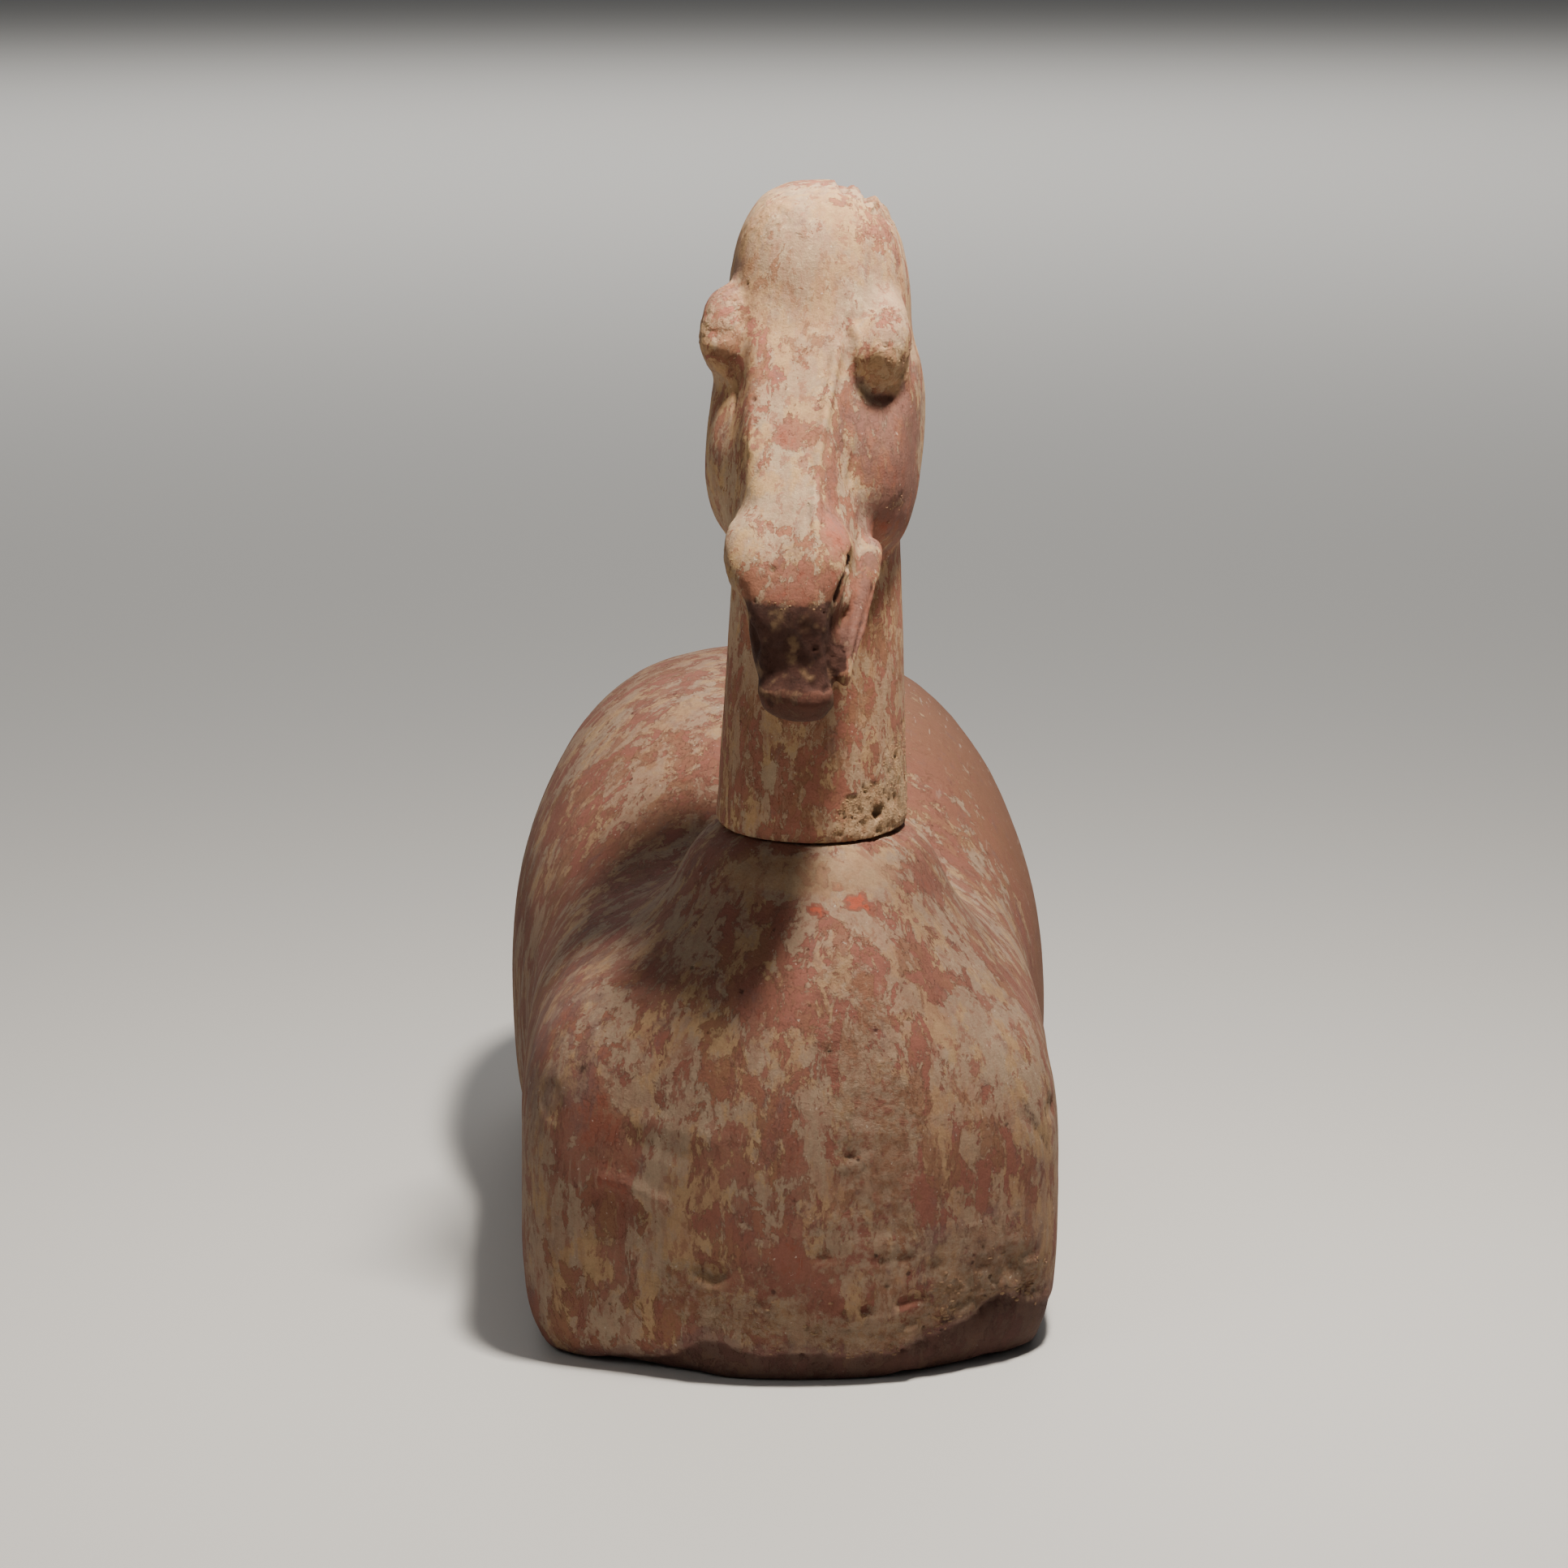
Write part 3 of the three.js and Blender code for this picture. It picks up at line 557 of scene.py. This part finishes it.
    # stains, and painted shade in the slots, grooves and recesses
    stain_and_shade_cover = cut(tree, sum_of(tree, grainy, layer["stain_and_shade"], 0.7), 0.62, 0.95)
    stain_and_shade = coat(tree, GRIME_AND_SHADE, MAUVE, product(tree, cut(tree, tones, 0.45, 0.6), 0.35))
    colour = coat(tree, colour, stain_and_shade, product(tree, stain_and_shade_cover, 0.95))
    colour = coat(tree, colour, GRIME_AND_SHADE, product(tree, pinholes, 0.7))
    # painted shade in the hollows of the relief and in shaded places
    colour = coat(tree, colour, GRIME_AND_SHADE, product(tree, layer["painted_shade"], 0.85))
    crumb = coat(tree, OCHRE_CLAY, CREAM, cut(tree, tones, 0.42, 0.58))
    colour = coat(tree, colour, crumb, product(tree, layer["lime_and_painted_light"], 0.7))
    darker = cut(tree, sum_of(tree, product(tree, fine, 0.5), grainy, 0.5), 0.25, 0.6)
    grey = put(tree, "ShaderNodeCombineColor", {0: darker, 1: darker, 2: darker}).outputs[0]
    colour = coat(tree, colour, grey, 0.3, "MULTIPLY")
    colour = coat(tree, colour, film, 1.0, "MULTIPLY")

    # the fine relief: grain, the edges of slip and paint, crumbly bare clay and the pinholes
    level = sum_of(tree, product(tree, fine, 0.3), grainy, 0.7)
    level = sum_of(tree, level, slip_cover, 0.6)
    level = sum_of(tree, level, paint_cover, 0.25)
    level = sum_of(tree, level, bare_cover, -0.3)
    crumbly = mottle(9, 9, 0.75, 0.4, (1, 1, 1.6), step=15)
    level = sum_of(tree, level, product(tree, crumbly, layer["bare"]), 4.0)
    level = sum_of(tree, level, pinholes, -1.3)
    relief = put(tree, "ShaderNodeBump", {"Strength": 0.75, "Distance": 1.1 * MM, "Height": level})
    tree.links.new(colour, shader.inputs["Base Color"])
    tree.links.new(sum_of(tree, 0.76, grainy, 0.22), shader.inputs["Roughness"])
    tree.links.new(relief.outputs[0], shader.inputs["Normal"])
    shader.inputs["Specular IOR Level"].default_value = 0.25
    return material


KEPT_SHARE = 0.74  # of the fine mesh, thinned where it is smooth
CRUMB_SIZE = "Crumb size"
CRUMBS = "Crumbs per square metre"


def crumb_tree(name, material, seed):
    """Crumbs of lime scattered over a piece where its grit layer says, and the whole in its material."""
    tree = bpy.data.node_groups.new(name, "GeometryNodeTree")
    tree.interface.new_socket("Geometry", in_out="INPUT", socket_type="NodeSocketGeometry")
    for key in (CRUMB_SIZE, CRUMBS):
        tree.interface.new_socket(key, in_out="INPUT", socket_type="NodeSocketFloat")
    tree.interface.new_socket("Geometry", in_out="OUTPUT", socket_type="NodeSocketGeometry")
    start = put(tree, "NodeGroupInput").outputs
    grit = put(tree, "GeometryNodeInputNamedAttribute", {"Name": "grit"}, data_type="FLOAT")
    density = product(tree, grit.outputs["Attribute"], start[CRUMBS])
    scatter = {"Mesh": start["Geometry"], "Density": density, "Seed": seed}
    points = put(tree, "GeometryNodeDistributePointsOnFaces", scatter).outputs
    ball = put(tree, "GeometryNodeMeshIcoSphere", {"Radius": 1.0, "Subdivisions": 1}).outputs["Mesh"]
    lime_and_painted_light = {"Geometry": ball, "Name": "lime_and_painted_light", "Value": 1.0}
    ball = put(tree, "GeometryNodeStoreNamedAttribute", lime_and_painted_light, data_type="FLOAT", domain="POINT").outputs[0]
    uneven = {"Min": (0.2, 0.2, 0.1), "Max": (1.0, 0.7, 0.4), "Seed": seed}
    uneven = put(tree, "FunctionNodeRandomValue", uneven, data_type="FLOAT_VECTOR").outputs["Value"]
    scale = {0: uneven, "Scale": start[CRUMB_SIZE]}
    scale = put(tree, "ShaderNodeVectorMath", scale, operation="SCALE").outputs[0]
    crumbs = {"Points": points["Points"], "Instance": ball, "Rotation": points["Rotation"], "Scale": scale}
    crumbs = put(tree, "GeometryNodeInstanceOnPoints", crumbs).outputs[0]
    joined = put(tree, "GeometryNodeJoinGeometry", {"Geometry": start["Geometry"]})
    tree.links.new(crumbs, joined.inputs["Geometry"])
    whole = put(tree, "GeometryNodeRealizeInstances", {"Geometry": joined.outputs[0]}).outputs[0]
    whole = put(tree, "GeometryNodeSetMaterial", {"Geometry": whole, "Material": material}).outputs[0]
    put(tree, "NodeGroupOutput", {"Geometry": whole})
    return tree


def with_crumbs(piece, material, size, amount, seed):
    """Thins the piece, sticks crumbs on it, and makes it one plain mesh inside the solids' box."""
    piece.modifiers.new("Thinned", "DECIMATE").ratio = KEPT_SHARE
    modifier = piece.modifiers.new("Crumbs", "NODES")
    modifier.node_group = crumb_tree("crumbs on " + piece.name, material, seed)
    sockets = modifier.node_group.interface.items_tree
    modifier[sockets[CRUMB_SIZE].identifier] = size
    modifier[sockets[CRUMBS].identifier] = amount
    fine_mesh = piece.data
    piece.data = bpy.data.meshes.new_from_object(piece.evaluated_get(bpy.context.evaluated_depsgraph_get()))
    piece.modifiers.clear()
    bpy.data.meshes.remove(fine_mesh)
    places = np.empty(3 * len(piece.data.vertices))
    piece.data.vertices.foreach_get("co", places)
    low, high = (np.array(list(corner)) for corner in cad_box)
    places = np.clip(places.reshape(-1, 3), low, high)
    piece.data.vertices.foreach_set("co", places.ravel())
    piece.data.update()


# the torso's colours, darker overall than the head's
TORSO_TONE = (0.57, 0.53, 0.50, 1)
torso_paint = painted_clay("painted torso clay", patch=17, drawn=(1, 1, 0.5), shift=0.0, film=TORSO_TONE)
with_crumbs(torso, torso_paint, size=1.7 * MM, amount=150000, seed=3)
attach(torso, "root")
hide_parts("torso")

# The head and neck. One hollow piece of the same painted clay, made apart from the torso and set
# on its stump. Its muzzle is stained dark and has painted shade on its front under the nose; its poll
# and one side of the neck's foot are broken.

HEAD_GRAIN = 1.3 * MM
HEAD_SMOOTHING = 12
INNER_LIP = [(38.5, -262, 401), (35, -272, 389), (31, -283, 375), (27, -294, 361), (23.5, -302, 349)]
OUTER_LIP = [(42, -262, 399), (39, -271, 388), (35, -281.5, 375), (30.5, -292.5, 361), (26, -301, 349)]
LIP_GROOVE = [(39, -273, 388), (35, -282, 376), (31, -292, 365), (27, -302, 351)]
MOUTH_SLOT = [(29.5, -288, 404), (27, -297, 396), (23.5, -302, 388), (20.5, -304, 379)]
SLOT_TOP = (28, -293, 399)
BESIDE_VEIN = [(30, -246, 488), (26, -262, 455), (22, -280, 430), (20, -296, 402)]
JAW_GAP = [(56, -238, 423), (52, -244, 415), (49, -249, 407), (45, -257, 398)]
UNDER_EYE = [(31, -243, 482), (35, -245, 475), (41, -243, 470), (50, -237, 469)]
CHEEK = (50, -240, 440)


def head_give(points):
    """How far smoothing moves each point. The neck's foot stays flat, and the lips stay thick."""
    flat = points[:, 2] < SEAT_LEVEL + 1 * MM
    return np.where(flat[:, None], (0.3, 0.3, 0), 1 - 0.75 * stroke(points, INNER_LIP, 12)[:, None])


lip_ropes = [(3.1, *INNER_LIP), (2.1, *OUTER_LIP)]
face = Clay("head_and_neck", HEAD_GRAIN, HEAD_SMOOTHING, head_give, lip_ropes)
P = face.points.copy()
x, y, z = P.T

# the places that are worn, broken, painted or stained, and the painted shade under the nose
foot = smooth_step(0, 3 * MM, z - SEAT_LEVEL)
rough_foot = spot(P, (42, -232, 264), (26, 40, 15), 0.5)
rough_foot = np.maximum(rough_foot, 0.6 * spot(P, (56, -205, 275), (14, 40, 32), 0.5, 1))
eye_crumble = spot(P, (46, -240, 484), (13, 18, 13), 0.8, 2)
old_break = spot(P, (46, -190, 558), (20, 30, 13), 0.5)
recess = spot(P, (20, -300, 353), (6, 12, 8), 0.3, 5)
jaw_crumble = stroke(P, JAW_GAP, 9)
lip_paint = stroke(P, INNER_LIP, 9)
beside_vein = stroke(P, BESIDE_VEIN, 10)
nose_patch = spot(P, (-3, -288, 430), (15, 22, 15), 0.15, 1)
forehead = spot(P, (8, -212, 532), (42, 60, 36), 0.6, 2)
uneven = 1.6 * MM * lumps(P, 9, 3, 52)
muzzle = smooth_step(384 * MM, 377 * MM, z + uneven) * smooth_step(340 * MM, 344 * MM, z + uneven)
muzzle *= smooth_step(-280 * MM, -292 * MM, y + 2 * uneven)
muzzle *= smooth_step(20 * MM, 16 * MM, x + 0.5 * uneven)
# painted shade on the muzzle's front, under the nose
muzzle_shade = 0.36 * smooth_step(418 * MM, 384 * MM, z + 2 * uneven)
muzzle_shade += 0.64 * smooth_step(386 * MM, 374 * MM, z + uneven)
muzzle_shade *= smooth_step(-272 * MM, -292 * MM, y) * smooth_step(30 * MM, 18 * MM, x)

height = 0.5 * lumps(P, 40, 3, 31) + 0.2 * lumps(P, (7, 7, 20), 3, 34)
height += strokes(
    P,
    # the vein beside the nose, with the dip that follows it
    (1.7, [(25, -244, 500), (22, -249, 493), (13, -275, 447), (11, -291, 418), (10, -300, 400)], 3.2),
    (-0.9, [(28, -244, 498), (26, -249, 488), (18, -275, 447), (16, -290, 418)], 3.2),
    (1.1, [(-20, -253, 478), (-20, -262, 460), (-20, -270, 444)], 3.0),  # the nose's right edge
    (-1.8, [(-26, -232, 480), (-25, -240, 455), (-24, -246, 435), (-22, -254, 412)], 3.4),
    (-1.0, [(33, -240, 470), (30, -254, 448), (27, -264, 428)], 3.0),
    (-1.8, [(-13, -308, 343), (0, -312, 341), (14, -313, 341), (20, -308, 344)], 2.4),  # between the lips
    (-4.6, MOUTH_SLOT, 5),
    (-0.9, LIP_GROOVE, 2.2),
    (-2.2, UNDER_EYE, 3.6),
    (1.0, [(29, -241, 505), (33, -246, 497), (34, -248, 486)], 4),  # the left eye's inner edge
    (-0.8, [(26, -240, 510), (27, -243, 498), (27, -246, 486)], 3),
)
height += spots(
    P,
    (-2.5, SLOT_TOP, (4, 8, 5), 0.3, 15),
    (-4.0, (44, -231, 265), (3.2, 8, 3.6), 0.4),  # the hole in the neck's foot
    (1.2, (45, -236, 488), (20, 26, 20), 0),  # the left eye
    (-2.4, (27, -186, 567), (4, 34, 9)),  # two notches in the poll
    (-3.0, (38, -186, 562), (4, 34, 9)),
)
height += recess * (1.4 * lumps(P, 5, 3, 55) - 0.5)
height -= (1.0 + 1.4 * lumps(P, 7, 3, 58)) * jaw_crumble
height += rough_foot * (1.8 * lumps(P, 10, 4, 37) - 0.7)
height += eye_crumble * 1.3 * lumps(P, 6, 3, 40)
height += 1.2 * spot(P, (-34, -222, 492), (11, 16, 12), 0.7, 14) * lumps(P, 6, 3, 61)
height += old_break * (3.2 * lumps(P, 12, 3, 43) - 1.6)
height += muzzle * (0.9 * lumps(P, 10, 4, 46) - 0.3)
height -= 1.3 * smooth_step(4 * MM, 0.6 * MM, z - SEAT_LEVEL) * smooth_step(-30 * MM, 0, x)
chipped = np.clip(0.01 + rough_foot + 0.5 * eye_crumble + 0.15 * muzzle + recess, 0, 1)
height += face.pits(chipped, 90, (1.6, 4.0), 1.6, 8)
face.push(height * np.maximum(foot, 0.4))

slip = 0.53 + 0.4 * nose_patch + 0.24 * forehead - 0.2 * beside_vein - 0.3 * lip_paint + spots(
    P,
    (-0.2, CHEEK, (22, 40, 40), 0.8, 3),
    (-0.2, (0, -306, 392), (26, 30, 12), 0.3, 9),
    (0.1, (-34, -225, 445), (10, 40, 36), 0.6),
)
slip -= 0.04 * smooth_step(350 * MM, 320 * MM, z)
rose = 0.49 - 0.4 * nose_patch - 0.12 * forehead + 0.2 * beside_vein + spots(
    P,
    (0.3, (4, -280, 456), (17, 30, 8), 0.3, 4),
    (0.18, (0, -308, 392), (22, 30, 11), 0.3, 12),
    (0.16, (18, -290, 425), (7, 30, 50), 0.3, 13),
    (0.12, CHEEK, (22, 40, 40), 0.3, 5),
)
mauve = np.maximum.reduce([
    0.8 * spot(P, (46, -240, 440), (28, 50, 46), 0.9, 7),
    0.6 * spot(P, (-36, -200, 530), (14, 40, 20), 0.7, 8),
    0.2 * spot(P, (-36, -220, 450), (12, 50, 40), 0.7, 11),
    0.9 * lip_paint,
    0.5 * beside_vein,
])
bare = np.maximum.reduce([
    0.7 * rough_foot,
    0.3 * eye_crumble,
    0.6 * old_break,
    0.5 * jaw_crumble,
    0.5 * spot(P, (-32, -225, 508), (9, 20, 12), 0.7, 6),
    0.4 * spot(P, (0, -190, 552), (30, 40, 14), 0.5, 10),
])
# the muzzle's dark stain, and painted shade in the mouth's slot, the lip's groove, the recess by the lips,
# under the eye and in the jaw's gap
stain_and_shade = 1.1 * muzzle + 0.8 * recess + 0.15 * jaw_crumble + 0.9 * spot(P, SLOT_TOP, (3.5, 8, 4.5), 0.3, 15)
stain_and_shade += strokes(P, (1.2, MOUTH_SLOT, 4.4), (0.5, LIP_GROOVE, 1.8), (0.3, UNDER_EYE, 2.4))
# painted shade: the muzzle's front, the inner lip, the cheek, the nose's underside and the lower lip
shade = 0.9 * muzzle_shade + 0.45 * stroke(P, INNER_LIP, 10) + spots(
    P,
    (0.12, CHEEK, (24, 40, 46), 0.5),
    (0.12, (0, -306, 390), (24, 30, 10), 0.4),
    (0.25, (0, -310, 348), (22, 14, 6), 0.4),
)
# painted shade on the neck below the lips
shade += 0.18 * smooth_step(350 * MM, 325 * MM, z) * smooth_step(262 * MM, 285 * MM, z)
# crumbs on the foot, the eye and the muzzle; on the eye they are laid thick as painted light, lifting the
# shade of its lower half
lime_and_painted_light = 0.5 * rough_foot + 0.7 * eye_crumble + 0.42 * muzzle * smooth_step(0.12, 0.45, lumps(P, 7, 3, 63))
grit = rough_foot + 0.35 * eye_crumble + 0.3 * old_break + 0.5 * jaw_crumble
grit += 0.2 * stroke(P, [(-19, -305, 380), (0, -312, 381), (16, -309, 380)], 4)
head = face.finish("head_and_neck_clay", {
    "slip": slip,
    "rose": rose,
    "mauve": mauve,
    "bare": bare,
    "plain": np.zeros(len(P)),
    "stain_and_shade": stain_and_shade,
    # painted shade in the hollows of the relief, and the painted shade above
    "painted_shade": np.clip(face.hollows(height) * 0.9, 0, 0.5) + shade,
    "lime_and_painted_light": lime_and_painted_light,
    "grit": np.clip(grit, 0, 1),
})

HEAD_TONE = (0.92, 0.86, 0.755, 1)
head_paint = painted_clay("painted head clay", patch=11, drawn=(1, 1, 0.6), shift=1.7, film=HEAD_TONE)
with_crumbs(head, head_paint, size=0.9 * MM, amount=300000, seed=5)
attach(head, "root")
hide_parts("head_and_neck")
